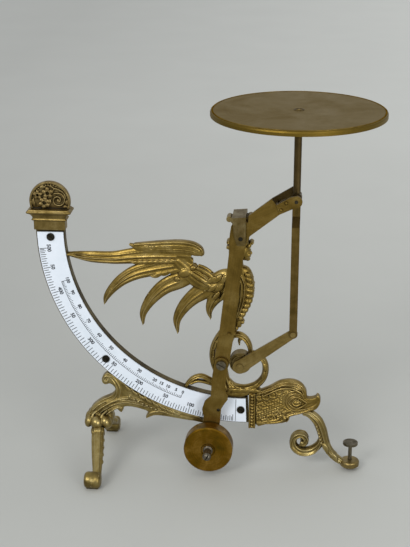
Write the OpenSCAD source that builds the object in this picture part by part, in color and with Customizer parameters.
// Antique postal scale: a cast brass stand with a winged figure, a bell crank lever with a
// hanging carrier for the pan, and an enamel scale on a quarter-round rail.
// Sizes are millimetres, +Z is up and the scale's face looks towards -Y.
// All modules are drawn around the main pivot and then moved so that the origin lies
// under the middle of the whole object, on the surface that it stands on.

/* [Pan] */
// Diameter of the pan
pan_d = 120; // [110:1:126]
// Height of the pan's turned-down edge
pan_edge_h = 3.6; // [3:0.1:5]
// Thickness of the pan's sheet
pan_t = 0.4; // [0.3:0.05:0.6]
// Height of the pan's top over the main pivot
pan_z = 89.1; // [86:0.1:94]

/* [Lever and linkage] */
// Distance from the main pivot to the pivot of the carrier
beam_r = 46.8; // [45:0.1:48]
// Angle of that line over the horizontal, at rest
beam_angle = 36; // [34:0.5:38]
// Height of the main pivot over the pivot of the guide link
link_drop = 99.4; // [98:0.1:101]
// Thickness of the lever's plate
lever_t = 2; // [1.6:0.1:2.2]
// Lean of the pendulum from the vertical, at rest
pendulum_angle = 7.7; // [7:0.1:9]

/* [Weight arm] */
// Distance from the main pivot to the screw of the weight arm
arm_screw_r = 96.7; // [95:0.1:98]
// Distance from that screw to the middle of the counterweight
weight_reach = 64; // [62:0.5:66]
// Diameter of the counterweight
weight_d = 35.6; // [33:0.1:37]
// Thickness of the counterweight
weight_t = 10.8; // [9:0.1:12]

/* [Scale] */
// Inner radius of the rail
rail_r0 = 125.3; // [124:0.1:126]
// Outer radius of the rail
rail_r1 = 145.6; // [144:0.1:147]
// Thickness of the rail
rail_t = 5.2; // [4:0.1:6]
// Thickness of the enamel plate
enamel_t = 1.2; // [1:0.1:1.5]

/* [Stand] */
// Height of the main pivot over the floor
pivot_h = 181.5; // [181:0.1:183]
// Sideways distance of each left foot from the middle plane
leg_spread = 45; // [42:0.5:50]
// Diameter of the levelling screw's knurled head
thumb_d = 10.9; // [10:0.1:13]

/* [Hidden] */
$fn = 48;

// Colours of the real finishes
brass = "#9a7f3c";
old_brass = "#6f5a2a";
dark_steel = "#3b3a32";
enamel = "#e6eaf1";

// Places of the moving pivots, as [x, z] from the main pivot
carrier_p = beam_r * [cos(beam_angle), sin(beam_angle)];
link_p = [0, -link_drop];
rivet_p = link_p + carrier_p;
pendulum_dir = [-sin(pendulum_angle), -cos(pendulum_angle)];
arm_p = arm_screw_r * pendulum_dir;
weight_p = (arm_screw_r + weight_reach) * pendulum_dir;
stop_p = [-7.4, -72.4];

// Layers from back to front, as y of each piece's back face
lever_y = -7.8;
washer_t = 0.2;
arm_y = lever_y - lever_t - washer_t - 0.05;
arm_t = 2;
weight_y = arm_y - arm_t;
link_y = -5.4;
link_t = 1.4;
bar_y = -7;
bar_t = 1.3;
boss_y = -5.2;
cheek_t = 2;
cheek_gap = 0.4;
saddle_front = lever_y - lever_t - cheek_gap;
saddle_back = 6.4;
saddle_lean = 5;
saddle_seat = 13.5;
fork_t = 1.6;
fork_back = 4.4;

// Shafts and their running clearance
run_gap = 0.05;
axle_r = 1.5;
pin_r = 1.2;
rivet_r = 1.1;
screw_r = 1.4;

// The finial's middle and the left feet, from the main pivot
finial_x = -135.2;
finial_flange = 16.5;
knee_p = [-104.4, -147.5];
left_foot_x = -103;
pad_p = [82, 0];
pad_r = 7;
pad_lift = 2.6;
pad_t = 5.2;

// Shift from the main pivot to the middle of the object's foot plane
place_x = -(finial_x - finial_flange + carrier_p[0] + pan_d / 2) / 2;

// Places of the three screws in the enamel, as [radius, angle from straight down]
scale_screw_at = [[135.2, -87.8], [138.6, -45], [134.9, 0.4]];

// One point of a smooth curve between b and c, with a and d as its neighbours
function curve_point(a, b, c, d, t) =
    0.5 * (2 * b + (c - a) * t + (2 * a - 5 * b + 4 * c - d) * t * t
        + (3 * b - a - 3 * c + d) * t * t * t);

// Smooth open curve through the points p, with n steps from each to the next
function smooth(p, n) =
    let (m = len(p) - 1)
    [for (i = [0:m - 1]) for (k = [0:n - 1])
        curve_point(p[max(i - 1, 0)], p[i], p[i + 1], p[min(i + 2, m)], k / n), p[m]];

// Smooth closed curve through the points p
function smooth_ring(p, n) =
    let (m = len(p))
    [for (i = [0:m - 1]) for (k = [0:n - 1])
        curve_point(p[(i + m - 1) % m], p[i], p[(i + 1) % m], p[(i + 2) % m], k / n)];

// Direction from a to b in the plane of the scale's face
function heading(a, b) = let (d = [b[0] - a[0], b[1] - a[1]]) d / norm(d);

// A point at radius r and an angle from straight down, positive to the right
function polar(r, a) = r * [sin(a), -cos(a)];

// Cast strap that follows rows of [x, z, width, depth, y], with an oval section
module strap(rows, n = 2, sides = 8) {
    path = smooth([for (r = rows) [r[0], r[1], r[2], r[3], len(r) > 4 ? r[4] : 0]], n);
    last = len(path) - 1;
    points = [for (i = [0:last])
        let (t = heading(path[max(i - 1, 0)], path[min(i + 1, last)]))
        for (k = [0:sides - 1])
            let (u = cos(360 * (k + 0.5) / sides) * path[i][2] / 2,
                v = sin(360 * (k + 0.5) / sides) * path[i][3] / 2)
            [path[i][0] - t[1] * u, path[i][4] + v, path[i][1] + t[0] * u]];
    walls = [for (i = [0:last - 1]) for (k = [0:sides - 1])
        let (a = i * sides + k, b = i * sides + (k + 1) % sides)
        each [[a, b, b + sides], [a, b + sides, a + sides]]];
    ends = [for (k = [1:sides - 2])
        each [[0, k + 1, k], [last * sides, last * sides + k, last * sides + k + 1]]];
    polyhedron(points, concat(walls, ends));
}

// Flat plate with an outline in x and z, from the front face y0 to the back face y1
module plate(outline, y0, y1) {
    rotate([90, 0, 0]) translate([0, 0, -y1]) linear_extrude(y1 - y0) polygon(outline);
}

// Round bar across the scale's face
module cross_bar(p, r, y0, y1) {
    translate([p[0], y1, p[1]]) rotate([90, 0, 0]) cylinder(r = r, h = y1 - y0);
}

// Band around the main pivot, between two angles from straight down
module arc_band(r0, r1, y0, y1, a0, a1) {
    rotate([90, 0, 0]) rotate([0, 0, a0 - 90]) rotate_extrude(angle = a1 - a0, $fn = 96)
        translate([r0, -y1]) square([r1 - r0, y1 - y0]);
}

// Small pointed leaf, raised from the face at y and its mirror image behind
module leaf(p, angle, length, width, y, height = 1) {
    for (side = [-1, 1]) scale([1, side, 1])
        translate([p[0], -y, p[1]]) rotate([0, -angle, 0]) hull() {
            translate([length * 0.35, 0, 0]) rotate([90, 0, 0])
                cylinder(r1 = width / 2, r2 = width / 4, h = height, $fn = 6);
            translate([length, 0, 0]) rotate([90, 0, 0]) cylinder(r = 0.3, h = 0.3, $fn = 3);
            rotate([90, 0, 0]) cylinder(r = width / 4, h = height / 2, $fn = 3);
        }
}

// Quarter-round rail that carries the scale
module arc_rail() {
    color(brass) difference() {
        arc_band(rail_r0, rail_r1, -rail_t / 2, rail_t / 2, -90, 2.6);
        for (s = scale_screw_at) cross_bar(polar(s[0], s[1]), screw_r, -4, 1.5);
    }
}

// Enamelled plate of the scale
module scale_plate() {
    color(enamel) difference() {
        arc_band(rail_r0 + 0.7, rail_r1 - 0.9, -rail_t / 2 - enamel_t, -rail_t / 2, -89.3, 2);
        for (s = scale_screw_at) cross_bar(polar(s[0], s[1]), screw_r + 0.2, -6, 0);
    }
}

// The three slotted screws that hold the enamel
module scale_screws() {
    face = -rail_t / 2 - enamel_t;
    color(dark_steel) for (s = scale_screw_at) difference() {
        union() {
            cross_bar(polar(s[0], s[1]), 2.8, face - 0.7, face);
            cross_bar(polar(s[0], s[1]), screw_r, face - 0.1, 1.4);
        }
        translate([polar(s[0], s[1])[0], face - 0.7, polar(s[0], s[1])[1]])
            rotate([0, 35, 0]) cube([7, 0.7, 0.6], center = true);
    }
}

// Socket with mouldings on the rail's upper end
socket_profile = [[10.6, 0], [10.6, 7.4], [12.2, 7.9], [13.1, 8.9], [13.1, 9.9],
    [12.2, 10.8], [11.2, 11.2], [12.2, 12.4], [finial_flange, 12.9], [finial_flange, 15]];
module socket_moulding(half, share) {
    last = len(socket_profile) - 1;
    outline = [for (p = socket_profile) [half + (p[0] - socket_profile[0][0]) * share, p[1]]];
    polygon([each outline, for (i = [last:-1:0]) [-outline[i][0], outline[i][1]]]);
}
module finial_socket() {
    color(brass) translate([finial_x, 0, 0]) intersection() {
        rotate([90, 0, 0]) translate([0, 0, -12]) linear_extrude(24)
            socket_moulding(socket_profile[0][0], 1);
        rotate([90, 0, 90]) translate([0, 0, -20]) linear_extrude(40)
            socket_moulding(4.4, 0.22);
    }
}

// Round-topped medallion with a raised rim, scrolls and rosettes
module finial_medallion() {
    r = 14.7;
    rise = 5.1;
    depth = 5;
    color(brass) translate([finial_x, 0, 15]) intersection() {
        union() {
            cross_bar([0, rise], r - 1, -1, 1, $fn = 32);
            difference() {
                cross_bar([0, rise], r, -depth / 2, depth / 2);
                cross_bar([0, rise], r - 2, -4, 4);
            }
            strap([for (t = [0:60:480]) let (q = 1.6 + 4.6 * t / 480)
                [4.6 + q * cos(t), 5.4 + q * sin(t), 1.5, depth - 0.8]], 2, 4);
            strap([for (t = [180:-60:-240]) let (q = 1.2 + 3 * (180 - t) / 420)
                [-6.2 + q * cos(t), 2.6 + q * sin(t), 1.3, depth - 1]], 2, 4);
            for (c = [[-5.2, 11.4], [-0.4, 15.8], [9.6, 12]]) for (a = [0:72:288]) hull()
                for (q = [0.4, 1.8])
                    translate([c[0] + q * cos(a), 0, c[1] + q * sin(a)]) rotate([90, 0, 0])
                        cylinder(r = 0.8, h = depth - 1.8 + q / 2, center = true, $fn = 4);
        }
        translate([-20, -10, 0]) cube([40, 20, 40]);
    }
}

// Band of beads at the rail's right end
bead_x = 9.2;
module bead_band() {
    color(brass) {
        translate([bead_x - 2.6, -4.2, -149.6]) cube([5.2, 8.4, 28.6]);
        for (i = [0:6], side = [-1, 1]) translate([bead_x, side * 4.2, -147.4 + i * 4])
            sphere(r = 1.7, $fn = 16);
    }
}

// Fish-shaped end piece with brow, eye, lips and scales
fish_outline = [[11.8, -146.7], [21, -146.2], [32, -145], [36.4, -141.8], [37.4, -138],
    [46, -135.6], [54, -134], [57.4, -131], [59, -126.4], [58.4, -123], [56.6, -121.6],
    [54.6, -123.6], [49.4, -124.2], [48.5, -118.7], [44.6, -113.4], [37.4, -111.2],
    [30.4, -112.2], [25.6, -114.4], [16.6, -120.6], [11.8, -121]];
module fish_head() {
    color(brass) {
        plate(smooth_ring(fish_outline, 2), -3.2, 3.2);
        strap([[12, -133.6, 22, 8.4], [22, -131.8, 25, 8.8], [32, -128.6, 27, 9],
            [41, -125, 23, 8.8], [46.4, -124, 14, 7.4]]);
        strap([[13, -122.6, 3, 7.4], [22, -118.8, 4.6, 8.4], [30, -114.8, 5.4, 9],
            [38, -113.8, 5.4, 9], [44, -116.4, 4.8, 8.8], [46.8, -121, 3.4, 8]]);
        strap([[45, -130.6, 5, 7.4], [51, -128.6, 6.4, 7.4], [55.6, -125.8, 5, 6],
            [57.4, -122.6, 2.6, 4.4]]);
        strap([[13, -145.2, 3, 8.2], [24, -144.4, 3.4, 8.6], [32, -142.2, 3.6, 8.8],
            [37, -137.6, 3.2, 8.4], [46, -135.4, 2.8, 8], [53.6, -132, 2.2, 7]]);
        cross_bar([33, -141.4], 3.3, -4.5, 4.5, $fn = 16);
        for (side = [-1, 1]) translate([39.4, side * 3.7, -123.6]) rotate([90, 0, 0]) {
            rotate_extrude($fn = 16) translate([5.6, 0]) circle(r = 1.2, $fn = 5);
            scale([1, 1, 0.5]) sphere(r = 2.6, $fn = 12);
        }
        for (row = [0:1], i = [0:2])
            leaf([28 - row * 5.6, -125 - i * 5.6 - (row % 2) * 2.8], 190, 6.4, 5.6, 4, 0.9);
    }
}

// Scroll foot: an S-shaped leg with a volute
module scroll_foot() {
    color(brass) {
        strap([[46.6, -136, 5.6, 7], [51.4, -137.4, 6.4, 7.8], [57, -142.6, 7.6, 8.4],
            [60.4, -150, 7.8, 8.6], [62.4, -157, 7.2, 8.6], [64.8, -163.6, 6.4, 8.2],
            [68.4, -169.4, 6, 7.6], [73, -173.8, 5.6, 7], [77.4, -176.2, 4.6, 6]]);
        strap([[61, -155.6, 4, 7], [58.8, -162.6, 5.8, 7.6], [53, -167.4, 6.4, 8],
            [45.8, -168, 6.2, 8], [40.4, -163.6, 5.8, 7.6], [40.6, -157.6, 5.2, 7.4],
            [45.6, -155, 4.8, 7], [49, -158.2, 4.6, 6.8], [48, -161.8, 5.2, 6.6],
            [45.2, -161.4, 5, 6.4]], 3, 6);
    }
}

// Round pad at the end of the scroll foot, bored for the levelling screw
module foot_pad() {
    pad_z = -pivot_h + pad_lift;
    color(brass) translate([pad_p[0], pad_p[1], pad_z]) difference() {
        rotate_extrude() polygon([[0, 0], [pad_r - 1, 0], [pad_r, 1], [pad_r, pad_t - 1.4],
            [pad_r - 0.5, pad_t - 0.5], [pad_r - 1.6, pad_t], [0, pad_t]]);
        translate([0, 0, -1]) cylinder(r = screw_r + run_gap, h = pad_t + 2);
    }
}

// Levelling screw with a knurled head
module levelling_screw() {
    head_z = 20.2;
    head_h = 1.9;
    color(dark_steel) translate([pad_p[0], pad_p[1], -pivot_h]) {
        cylinder(r = screw_r, h = head_z);
        cylinder(r1 = 0.8, r2 = screw_r, h = 0.6);
        translate([0, 0, head_z - 1]) cylinder(r1 = screw_r, r2 = 3, h = 1);
        translate([0, 0, head_z]) difference() {
            cylinder(r = thumb_d / 2, h = head_h);
            for (a = [0:12:348]) rotate([0, 0, a]) translate([thumb_d / 2 + 0.25, 0, -1])
                cylinder(r = 0.5, h = head_h + 2, $fn = 16);
        }
    }
}

// Leaf bracket under the rail, with the knee that carries the two legs
bracket_outline = [[-27, -145], [-34, -146], [-44, -144.8], [-55, -143.2], [-63.4, -143],
    [-69.6, -145.8], [-67.4, -140.4], [-77, -137], [-85.4, -136.8], [-87.8, -141.6],
    [-92, -138.4], [-97, -142], [-104, -150], [-113, -147], [-111.4, -141],
    [-108.6, -136.6], [-102.6, -131.8], [-95.4, -128.2], [-92, -124], [-92.8, -120.6],
    [-95.8, -118.4], [-99, -119.2], [-101.4, -117.8], [-101.6, -114], [-99.4, -111.2],
    [-95.4, -109.4], [-90.6, -111.6]];
module leaf_bracket() {
    color(brass) {
        difference() {
            plate(smooth_ring(bracket_outline, 2), -3.4, 3.4);
            arc_band(rail_r0, rail_r1, -8, 8, -60, 10);
        }
        strap([[-36, -144, 2.6, 7.4], [-50, -140, 4.6, 8.2], [-66, -135.4, 6, 8.6],
            [-80, -131.6, 8, 9.2], [-92, -132.6, 9, 10.2], [-102, -137.6, 10.6, 12],
            [-106.6, -143, 11, 13]]);
        strap([[-98.4, -114.8, 3.6, 7.6], [-94.4, -115.6, 4.2, 8], [-90, -120, 5.6, 8.8],
            [-88.6, -126, 7, 9.4]], 2, 6);
        translate([knee_p[0], 0, knee_p[1]]) scale([1.14, 0.95, 0.78]) sphere(r = 9.4, $fn = 16);
        for (x = [-8.6, 7.4]) translate([knee_p[0] + x, 0, knee_p[1] + 0.4])
            scale([0.8, 1.2, 1]) sphere(r = 4.2, $fn = 10);
        for (i = [0:3]) leaf([-58 - i * 9, -137.4 + i], 150 + i * 4, 10, 4.4, 3.9, 1);
        for (i = [0:2]) leaf([-94.6 - i * 3, -127.4 - i * 4], 205 + i * 12, 8, 4, 3.2, 1.6);
    }
}

// One left leg: a square tapered bar that ends in a rolled toe
module left_leg(side) {
    toe_r = 5.4;
    toe_z = -pivot_h + toe_r;
    color(brass) scale([1, side, 1]) {
        hull() {
            translate([knee_p[0] - 4.9, 6, -152]) cube([9.6, 6, 6]);
            translate([left_foot_x + 0.2, leg_spread - 7, -172]) cube([5.4, 5, 5]);
        }
        for (i = [0:2]) hull() {
            translate([left_foot_x + 3.4 + i * 0.3, 15 + i * 8, -159 - i * 5.4])
                sphere(r = 1.9, $fn = 8);
            translate([left_foot_x + 3.2 + i * 0.3, 19 + i * 8, -159 - i * 5.4])
                sphere(r = 1.2, $fn = 6);
        }
        hull() {
            translate([left_foot_x - 5.9, leg_spread, toe_z]) rotate([0, 90, 0])
                cylinder(r = toe_r - 0.7, h = 11.8, $fn = 24);
            translate([left_foot_x - 4.9, leg_spread, toe_z]) rotate([0, 90, 0])
                cylinder(r = toe_r, h = 9.8, $fn = 24);
            translate([left_foot_x - 4.9, leg_spread - 2.6, -pivot_h]) cube([9.8, 5.2, 1]);
        }
    }
}
module front_leg() { left_leg(-1); }
module rear_leg() { left_leg(1); }

// Stem below the figure with its scrolls and the leaves at its foot
module tail_stem() {
    color(brass) {
        strap([[-4.4, -66, 6.6, 7], [-6.8, -76, 6.6, 7.2], [-10.6, -88, 6.6, 7.2],
            [-12.4, -100, 6.8, 7.4], [-11.4, -110.6, 7, 7.6], [-8, -121, 8, 8]]);
        strap([[-7, -68, 4, 6.6], [-13.6, -75, 4.4, 6.8], [-19, -85, 4.6, 6.8],
            [-20.2, -95, 4.6, 6.8], [-17.6, -105, 4.6, 6.8], [-12.6, -113.6, 4.6, 7],
            [-6, -119, 5, 7.2]], 2, 6);
        strap([[-7, -77.6, 4.6, 7], [-1.6, -76.6, 5, 7], [3, -79, 4.8, 7], [6, -83.4, 4.2, 7],
            [7.2, -88.4, 3.4, 6.8], [6, -92.6, 2.6, 6.4]], 2, 6);
        strap([[7.4, -90, 3, 6.6], [14.2, -92.6, 4, 7], [18.2, -99.4, 4.6, 7.2],
            [17.6, -108.4, 5, 7.4], [12.4, -115.4, 5.4, 7.6], [4, -118.8, 5.4, 7.8],
            [-3.6, -117.4, 4.2, 7.4], [-8, -112.6, 2, 6.4]], 2, 6);
        strap([[-14, -121.4, 4.4, 7], [-7, -122.4, 6.6, 7.8], [1, -122.6, 6.6, 8],
            [8, -120.4, 4.6, 8], [14, -118.4, 2.6, 7], [18, -118.4, 1.6, 6]], 2, 6);
        for (i = [0:4]) leaf([-9 + i * 5.4, -121 + i * 0.6], 28 - i * 4, 8, 3.6, 3.7, 1.1);
        strap([[1.6, -78, 2.6, 6], [-0.8, -80.8, 2.4, 5.6], [-0.6, -84.4, 1, 4.6]], 2, 6);
    }
}

// Spiral boss that carries the guide link
boss_p = [0.3, -97.4];
module pivot_boss() {
    r = 8;
    color(brass) difference() {
        union() {
            cross_bar(boss_p, r, boss_y + 0.9, 3.6);
            cross_bar(boss_p + [0.6, -1.2], r - 2, boss_y, 3.6);
        }
        cross_bar(link_p, screw_r, boss_y - 1, 0);
        rotate([90, 0, 0]) translate([boss_p[0], boss_p[1], -boss_y - 0.9])
            rotate_extrude(angle = 230, $fn = 60) translate([r - 1.4, 0])
                circle(r = 0.6, $fn = 16);
    }
}

// Small scroll between the stem and the rail
module side_scroll() {
    color(brass) {
        strap([[-15.6, -116, 4, 5], [-21, -113.6, 3.8, 5], [-28, -110.6, 3.8, 5],
            [-34, -112.2, 3.6, 5], [-38.2, -116.4, 3.2, 5], [-40.6, -121, 3, 5]], 3, 6);
        strap([[-16, -118.6, 2.4, 4.2], [-24, -115.6, 2.6, 4.2], [-31, -114.6, 2.4, 4.2],
            [-36.4, -117, 2.2, 4.2]], 2, 6);
    }
}

// Body of the figure: chest, belly plates and groin leaf
module figure_body() {
    color(brass) {
        strap([[-2, -20.6, 6.4, 7], [-1.6, -24.4, 7.2, 7.6], [-0.4, -28, 14.6, 9],
            [0, -33, 18, 10], [0, -40, 18.6, 10.2], [-0.8, -48, 16.4, 9.8], [-2, -55, 13, 9],
            [-3.4, -62, 9, 8], [-4.6, -69, 7, 7.4]], 2, 12);
        for (i = [0:6]) let (p = [[5.6, -31], [7, -36.4], [7, -41.8], [6.4, -47],
            [5, -52], [3, -56.6], [0.6, -61]][i])
            hull() for (y = [-3.4, 3.4]) {
                translate([p[0], y, p[1] + 1.2]) sphere(r = 1.9, $fn = 6);
                translate([p[0] - 3, y * 1.2, p[1] - 0.4]) sphere(r = 1.5, $fn = 6);
            }
        hull() for (y = [-2.4, 2.4]) {
            translate([-0.6, y, -68.4]) sphere(r = 1.9, $fn = 8);
            translate([-2.6, y, -70]) sphere(r = 1.6, $fn = 8);
        }
        for (side = [-1, 1])
            strap([[1.6, -31, 1.4, 1.8, 4.6 * side], [4, -37, 1.6, 1.8, 4.8 * side],
                [4, -46, 1.6, 1.8, 4.6 * side], [1.4, -54, 1.4, 1.8, 4.2 * side],
                [-1.4, -60, 1, 1.6, 3.8 * side]], 2, 4);
    }
}

// Outstretched wing with long curved feathers
feathers = [
    [[-35.4, -17.4, 7, 5], [-46, -17.4, 12.6, 5], [-62, -17.6, 14, 4.8], [-78, -19, 11.6, 4.6],
        [-91, -20.6, 9.6, 4.2], [-107, -20.4, 8.4, 3.8], [-117, -19.4, 5.6, 3.2],
        [-124.6, -18.6, 2.6, 2.6]],
    [[-34, -24, 10, 5], [-48, -24.6, 12.6, 5], [-62, -27.4, 12, 4.8], [-75, -31.2, 11, 4.6],
        [-85, -37, 8.8, 4.2], [-92.6, -44.4, 6.6, 3.8], [-97, -51, 4.4, 3.2],
        [-98.4, -55.8, 1.4, 2.2]],
    [[-33, -30, 12, 5], [-44, -36, 13, 5], [-54, -41, 11.6, 4.8], [-61.4, -47.6, 9.8, 4.6],
        [-67, -55, 7.6, 4.2], [-70.6, -63, 5, 3.6], [-70.6, -70.8, 1.6, 2.4]],
    [[-18, -37, 15, 5], [-27, -43.4, 13.6, 5], [-35.4, -50, 11, 4.8], [-42, -58, 8.8, 4.4],
        [-46, -67, 5.8, 3.8], [-45.4, -76.6, 1.5, 2.4]],
    [[-11, -42, 12, 5], [-17.6, -47.6, 10.4, 4.8], [-21.4, -54, 7.4, 4.4],
        [-22.6, -59.6, 4.4, 3.6], [-21.5, -64.6, 1.3, 2.4]]];
module wing() {
    color(brass) {
        for (f = feathers) {
            strap(f);
            last = len(f) - 1;
            strap([for (i = [1:last]) [f[i][0], f[i][1], 1.1 - 0.5 * i / last,
                f[i][3] + 1.1]], 2, 4);
        }
        strap([[-79.6, -10, 1.2, 3.4], [-71, -12.4, 5.4, 5], [-58, -11.6, 9, 5.8],
            [-45, -11, 10, 6.4], [-36, -11.6, 10, 6.6], [-31.2, -13.4, 8.6, 6],
            [-28.4, -15.4, 5.4, 5], [-27.4, -17, 2.4, 3.6]]);
        strap([[-46, -21.6, 12, 5.6], [-38.6, -28.2, 13.6, 6.8], [-29.4, -35.4, 14, 7.4],
            [-20, -37.6, 15, 7.8], [-11, -36.4, 20, 8.4], [-4, -37.4, 20, 8]]);
        translate([-38, 0, -29.4]) scale([1, 0.9, 1]) sphere(r = 4.8, $fn = 12);
        for (i = [0:2], j = [0:1])
            leaf([-26 + i * 5.4, -34.6 - j * 5.4 - i * 0.6], 205 + j * 8, 7, 5, 3.4, 1.3);
        for (i = [0:3]) leaf([-44 - i * 7, -21.6 - i], 186 + i * 2, 10, 4.4, 2.4, 1.2);
    }
}

// Head of the figure, facing right, with curls at the brow and the nape
head_p = [0.4, -12.4];
module figure_head() {
    color(brass) translate([head_p[0], 0, head_p[1]]) {
        scale([1, 0.78, 1.06]) sphere(r = 6.4, $fn = 16);
        hull() {
            translate([2.6, 0, -1.4]) scale([1, 0.92, 1.3]) sphere(r = 4.2, $fn = 12);
            translate([3.2, 0, -6.4]) scale([1.1, 1, 0.8]) sphere(r = 2.2, $fn = 10);
        }
        hull() {
            translate([5.8, 0, 1.4]) sphere(r = 0.8, $fn = 8);
            translate([7.3, 0, -1.6]) sphere(r = 0.9, $fn = 8);
            translate([5.4, 0, -1.8]) sphere(r = 1.1, $fn = 8);
        }
        hull() for (z = [-6, -11]) translate([-2.2, 0, z]) cylinder(r = 3, h = 1, $fn = 12);
        for (a = [35:26.6:168], y = [-2.4, 2.4]) hull() {
            translate([-1 + 8.2 * cos(a), y, 1.2 + 5.6 * sin(a)]) sphere(r = 2, $fn = 8);
            translate([-1 + 4 * cos(a), y * 1.2, 3 * sin(a)]) sphere(r = 1.8, $fn = 6);
        }
        hull() for (z = [1.6, -4]) translate([-5.4, 0, z]) sphere(r = 3.2, $fn = 8);
    }
}

// Capital on the head, with volutes beside its slab, leaning back a little like the head
module capital() {
    half = 4.6;
    color(brass) rotate([0, -saddle_lean, 0]) difference() {
        union() {
            plate([[-6.6, saddle_seat], [-7, 11.2], [-5.6, 9.4], [-4.8, 4], [-4.6, -1],
                [-6, -4], [-6.4, -6.4], [4.8, -6.4], [4.6, -4], [4, -1], [4.4, 4],
                [5.6, 9.4], [7, 11.2], [6.6, saddle_seat]], -half, half);
            for (x = [-7.4, 7.4]) cross_bar([x, 12.3], 2.1, -half + 0.6, half - 0.6);
        }
        cross_bar([0, 0], axle_r + 0.8, -half - 1, half + 1);
    }
}

// Bent saddle on the capital: a strip with two cheeks that hold the main axle. Its right
// edge also stops the lever when the pan is lifted.
module saddle() {
    top = saddle_seat + 2;
    cheek = [[-4.8, top], [-4.4, 10], [-4.5, 3], [-3, -4.2], [-2.2, -4.8], [2.4, -5],
        [3.2, -4], [3.8, 3], [4.8, top]];
    color(old_brass) rotate([0, -saddle_lean, 0]) difference() {
        union() {
            translate([-4.8, saddle_front - cheek_t, saddle_seat])
                cube([9.6, saddle_back - saddle_front + 2 * cheek_t, 2]);
            plate(cheek, saddle_front - cheek_t, saddle_front);
            plate(cheek, saddle_back, saddle_back + cheek_t);
        }
        cross_bar([0, 0], axle_r + run_gap, saddle_front - 5, saddle_back + 5);
    }
}

// Screw that carries the guide link on the boss
module link_screw() {
    head_t = 0.7;
    front = link_y - link_t;
    color(brass) {
        cross_bar(link_p, 2.6, front - head_t, front - 0.05);
        cross_bar(link_p, screw_r, front - 0.1, -0.4);
    }
}

// Bell crank: beam to the right, pendulum downwards
lever_outline = concat(
    [[-7.6, 3], [-6.8, 8]], [for (a = [115:-13.4:74]) 12.2 * [cos(a), sin(a)]],
    [[5, 11.2], [5.4, 16.4], [20.9, 28.8], [24.4, 24.2], [33.8, 29.8]],
    [for (a = [110:-20:-70]) carrier_p + 3.4 * [cos(a), sin(a)]],
    [[33.2, 23.2], [26.9, 18], [6.4, 1.6], [4, -4], [2.4, -11.6], [0, -31], [-3.5, -68.3]],
    [for (a = [-8:-20:-188]) arm_p + 5.5 * [cos(a), sin(a)]],
    [[-14.4, -68.8], [-10.2, -31.3], [-8.2, -12], [-8, -2]]);
module lever_plate() {
    color(old_brass) difference() {
        plate(lever_outline, lever_y - lever_t, lever_y);
        cross_bar([0, 0], axle_r, -20, 20);
        cross_bar(carrier_p, pin_r, -20, 20);
        cross_bar(arm_p, screw_r, -20, 20);
        cross_bar(stop_p, 1, -20, 20);
        for (p = rivet_at) cross_bar(p, 0.8, -20, 20);
    }
}

// Main axle with the shoulder that steadies the lever
module main_axle() {
    color(dark_steel) {
        cross_bar([0, 0], axle_r, saddle_front - cheek_t + 0.3, saddle_back + cheek_t + 0.4);
        cross_bar([0, 0], 3, lever_y, lever_y + 2.2);
    }
}

// Fork at the beam's end: a flange behind the lever, a web and a rear cheek that holds the
// axle, open above and outside for the carrier
rivet_at = [[27.6, 21.6], [31, 26.6]];
function beam_point(s, n) =
    [s * cos(beam_angle) - n * sin(beam_angle), s * sin(beam_angle) + n * cos(beam_angle)];
function eye_arc(r) = [for (a = [110:-20:-70]) carrier_p + r * [cos(a), sin(a)]];
module fork() {
    flange = [beam_point(32, -0.8), beam_point(32.2, 4.4), beam_point(37, 5.6),
        beam_point(41.4, 5.2), beam_point(40.6, 0.6), beam_point(37, -0.8)];
    web = [beam_point(32.4, -0.8), beam_point(32.4, 4.6), beam_point(34.4, 5), beam_point(34.4, -0.8)];
    cheek = [beam_point(30.8, 6.6), beam_point(31.2, 8), beam_point(48.2, 6.8),
        beam_point(50.2, 3), beam_point(50.4, -0.6), beam_point(49, -3), beam_point(46, -3.8),
        beam_point(38, -2.4), beam_point(32.4, -2)];
    color(old_brass) difference() {
        union() {
            plate(flange, lever_y, lever_y + 1.6);
            plate(web, lever_y + 1, fork_back + 0.6);
            plate(cheek, fork_back, fork_back + fork_t);
        }
        cross_bar(carrier_p, pin_r, -20, 20);
        for (p = rivet_at) cross_bar(p, 0.8, -20, 0);
    }
}

// Outer cheek, riveted on the front of the lever
module fork_cheek() {
    front = lever_y - lever_t;
    color(old_brass) difference() {
        plate(concat([[26.9, 18.4], [24.1, 24.8], [34, 30.8], [38.6, 31.8]],
            [for (a = [60:-20:-60]) carrier_p + 4.2 * [cos(a), sin(a)]], [[35.3, 22.4]]),
            front - fork_t, front);
        cross_bar(carrier_p, pin_r, -20, 20);
        for (p = rivet_at) cross_bar(p, 0.8, -20, 0);
    }
}

// Rivets between the fork and the lever
module fork_rivets() {
    front = lever_y - lever_t - fork_t;
    color(old_brass) for (p = rivet_at) {
        cross_bar(p, 0.8, front, lever_y + 1.6);
        translate([p[0], front, p[1]]) intersection() {
            sphere(r = 1.3, $fn = 24);
            translate([-2, -2, -2]) cube([4, 2, 4]);
        }
    }
}

// Axle of the carrier, fast in the fork
module pan_axle() {
    color(dark_steel) cross_bar(carrier_p, pin_r, lever_y - lever_t - fork_t - 0.4,
        fork_back + fork_t + 0.4);
}

// Pin that stops the weight arm when it is turned up
module stop_pin() {
    color(old_brass) {
        cross_bar(stop_p, 1, lever_y - lever_t - 2, lever_y);
        cross_bar(stop_p, 1.3, lever_y - lever_t - 2.2, lever_y - lever_t - 1.2);
    }
}

// Shouldered screw of the weight arm
module arm_screw() {
    front = arm_y - arm_t;
    color(dark_steel) difference() {
        union() {
            cross_bar(arm_p, screw_r, front - 0.1, lever_y);
            cross_bar(arm_p, 3.5, front - 1.7, front - 0.1);
        }
        translate([arm_p[0], front - 1.7, arm_p[1]]) rotate([0, 30, 0])
            cube([8, 1.2, 0.8], center = true);
    }
}

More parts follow.
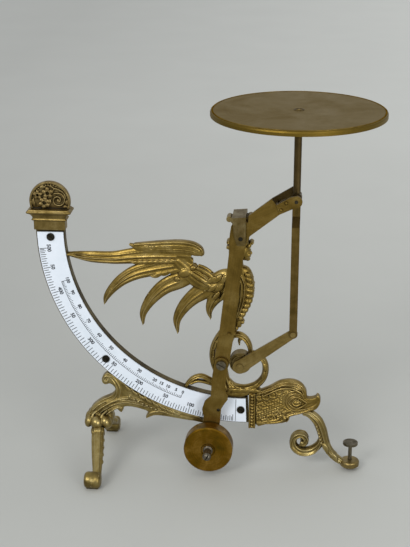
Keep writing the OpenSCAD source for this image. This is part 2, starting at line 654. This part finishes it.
// Thin washer between the lever and the weight arm
module arm_washer() {
    color(brass) difference() {
        cross_bar(arm_p, 4.6, lever_y - lever_t - washer_t, lever_y - lever_t);
        cross_bar(arm_p, screw_r, -20, 20);
    }
}

// Weight arm: [distance outwards, distance sideways] from its screw, along the pendulum
arm_sides = concat(
    [for (a = [30:20:150]) 5.4 * [-cos(a - 90), sin(a - 90)]],
    [[8, 5.1], [15, 5], [20, 5.6], [23.4, 8.2], [26.6, 8.4], [29.6, 6.8], [34.8, 4.8],
        [42, 5.2], [58, 6]],
    [for (a = [60:-20:-60]) [64 + 6 * cos(a), 6 * sin(a)]],
    [[58, -6], [45, -6.6], [37.2, -8.9], [31, -7.9], [26, -3.9], [15, -5.1], [8, -5.2]]);
function along_arm(q) = arm_p + q[0] * pendulum_dir - q[1] * [-pendulum_dir[1], pendulum_dir[0]];
module weight_arm() {
    notch = along_arm([35.9, -2.9]);
    color(old_brass) difference() {
        plate([for (q = arm_sides) along_arm([q[0], -q[1]])], arm_y - arm_t, arm_y);
        cross_bar(arm_p, screw_r + run_gap, -20, 20);
        cross_bar(weight_p, 2, -20, 20);
        cross_bar(notch, 1.3, -20, 20);
    }
}

// Round counterweight on the arm's end
module counterweight() {
    r = weight_d / 2;
    color("#76590f") translate([weight_p[0], weight_y, weight_p[1]]) rotate([90, 0, 0])
        difference() {
            rotate_extrude($fn = 96) polygon([[0, 0], [r - 0.6, 0], [r, 0.6],
                [r, weight_t - 0.8], [r - 0.8, weight_t], [5.4, weight_t],
                [4.6, weight_t - 0.4], [0, weight_t - 0.4]]);
            translate([0, 0, -1]) cylinder(r = 2, h = weight_t + 2);
        }
}

// Slotted stud that holds the counterweight
module weight_stud() {
    front = weight_y - weight_t + 0.4;
    color(dark_steel) translate([weight_p[0], 0, weight_p[1]]) difference() {
        union() {
            translate([0, arm_y - 0.2, 0]) rotate([90, 0, 0])
                cylinder(r = 2, h = arm_y - 0.2 - front);
            translate([0, front, 0]) rotate([90, 0, 0]) rotate_extrude($fn = 40)
                polygon([[0, 0], [3.6, 0], [3.6, 1.2], [2.6, 2], [2.6, 8.6], [3.1, 9.2],
                    [3.1, 10.6], [2.4, 11.8], [1.3, 12.5], [0, 12.7]]);
        }
        translate([0, front - 12.6, 0]) rotate([0, -60, 0])
            cube([10, 3, 0.9], center = true);
    }
}

// Carrier: round rod for the pan, eye on the fork's axle, cranked flat bar to the link
rod_r = 2.6;
bar_w = 5.6;
module carrier() {
    x = carrier_p[0];
    eye_half = 2.8;
    crank_top = carrier_p[1] - 13;
    crank_end = carrier_p[1] - 19;
    color(old_brass) difference() {
        union() {
            translate([x, 0, carrier_p[1]]) cylinder(r = rod_r, h = pan_z - 1.5 - carrier_p[1]);
            cross_bar(carrier_p, 3.7, -eye_half, eye_half);
            rotate([90, 0, 90]) translate([0, 0, x - bar_w / 2]) linear_extrude(bar_w)
                polygon([[-1.6, carrier_p[1]], [1.6, carrier_p[1]], [1.6, crank_top],
                    [bar_y, crank_end], [bar_y, rivet_p[1]], [bar_y - bar_t, rivet_p[1]],
                    [bar_y - bar_t, crank_end - 0.6], [-1.6, crank_top - 0.4]]);
            cross_bar(rivet_p, bar_w / 2 + 0.3, bar_y - bar_t, bar_y);
        }
        translate([x, 0, carrier_p[1] + 5]) cylinder(r = 1.6, h = pan_z);
        cross_bar(carrier_p, pin_r + run_gap, -20, 20);
        cross_bar(rivet_p, rivet_r + run_gap, -20, 0);
    }
}

// Collar under the pan
module pan_collar() {
    color(old_brass) translate([carrier_p[0], 0, pan_z - pan_t]) difference() {
        rotate_extrude() polygon([[0, 0], [6.4, 0], [6.4, -0.6], [3.8, -1.6], [3.6, -5.4], [0, -5.4]]);
        translate([0, 0, -20]) cylinder(r = rod_r, h = 30);
    }
}

// Round pan: flat top with a turned-down edge
module pan() {
    r = pan_d / 2;
    color("#6d6138") translate([carrier_p[0], 0, pan_z]) difference() {
        rotate_extrude($fn = 128) polygon([[0, 0], [r - 1.4, 0], [r - 0.4, -0.4], [r, -1.4],
            [r, -pan_edge_h], [r - pan_t, -pan_edge_h], [r - pan_t, -1.5],
            [r - 1.5, -pan_t], [0, -pan_t]]);
        translate([0, 0, -5]) cylinder(r = 1.3, h = 10);
    }
}

// Flush rivet in the middle of the pan, which fills the rod's end
module pan_rivet() {
    color(old_brass) translate([carrier_p[0], 0, pan_z]) {
        translate([0, 0, -pan_t - 1]) cylinder(r = 1.3, h = pan_t + 1);
    }
}

// Guide link from the boss to the carrier bar
module guide_link() {
    wide = 5.2;
    slim = 3.2;
    tilt = atan2(rivet_p[1] - link_p[1], rivet_p[0] - link_p[0]);
    side = [-sin(tilt), cos(tilt)];
    color(old_brass) difference() {
        union() {
            cross_bar(link_p, wide, link_y - link_t, link_y);
            cross_bar(rivet_p, slim, link_y - link_t, link_y);
            plate([link_p + wide * 0.96 * side, rivet_p + slim * side,
                rivet_p - slim * side, link_p - wide * 0.96 * side],
                link_y - link_t, link_y);
        }
        cross_bar(link_p, screw_r + run_gap, -20, 0);
        cross_bar(rivet_p, rivet_r, -20, 0);
    }
}

// Rivet of the link in the carrier's bar
module link_rivet() {
    front = bar_y - bar_t;
    color(old_brass) {
        cross_bar(rivet_p, rivet_r, front - 0.2, link_y);
        cross_bar(rivet_p, 2, front - 0.6, front - 0.1);
    }
}

translate([place_x, 0, pivot_h]) {
    arc_rail();
    scale_plate();
    scale_screws();
    finial_socket();
    finial_medallion();
    bead_band();
    fish_head();
    scroll_foot();
    foot_pad();
    levelling_screw();
    leaf_bracket();
    front_leg();
    rear_leg();
    tail_stem();
    pivot_boss();
    side_scroll();
    figure_body();
    wing();
    figure_head();
    capital();
    saddle();
    link_screw();
    lever_plate();
    main_axle();
    fork();
    fork_cheek();
    fork_rivets();
    pan_axle();
    stop_pin();
    arm_screw();
    arm_washer();
    weight_arm();
    counterweight();
    weight_stud();
    carrier();
    pan_collar();
    pan();
    pan_rivet();
    guide_link();
    link_rivet();
}
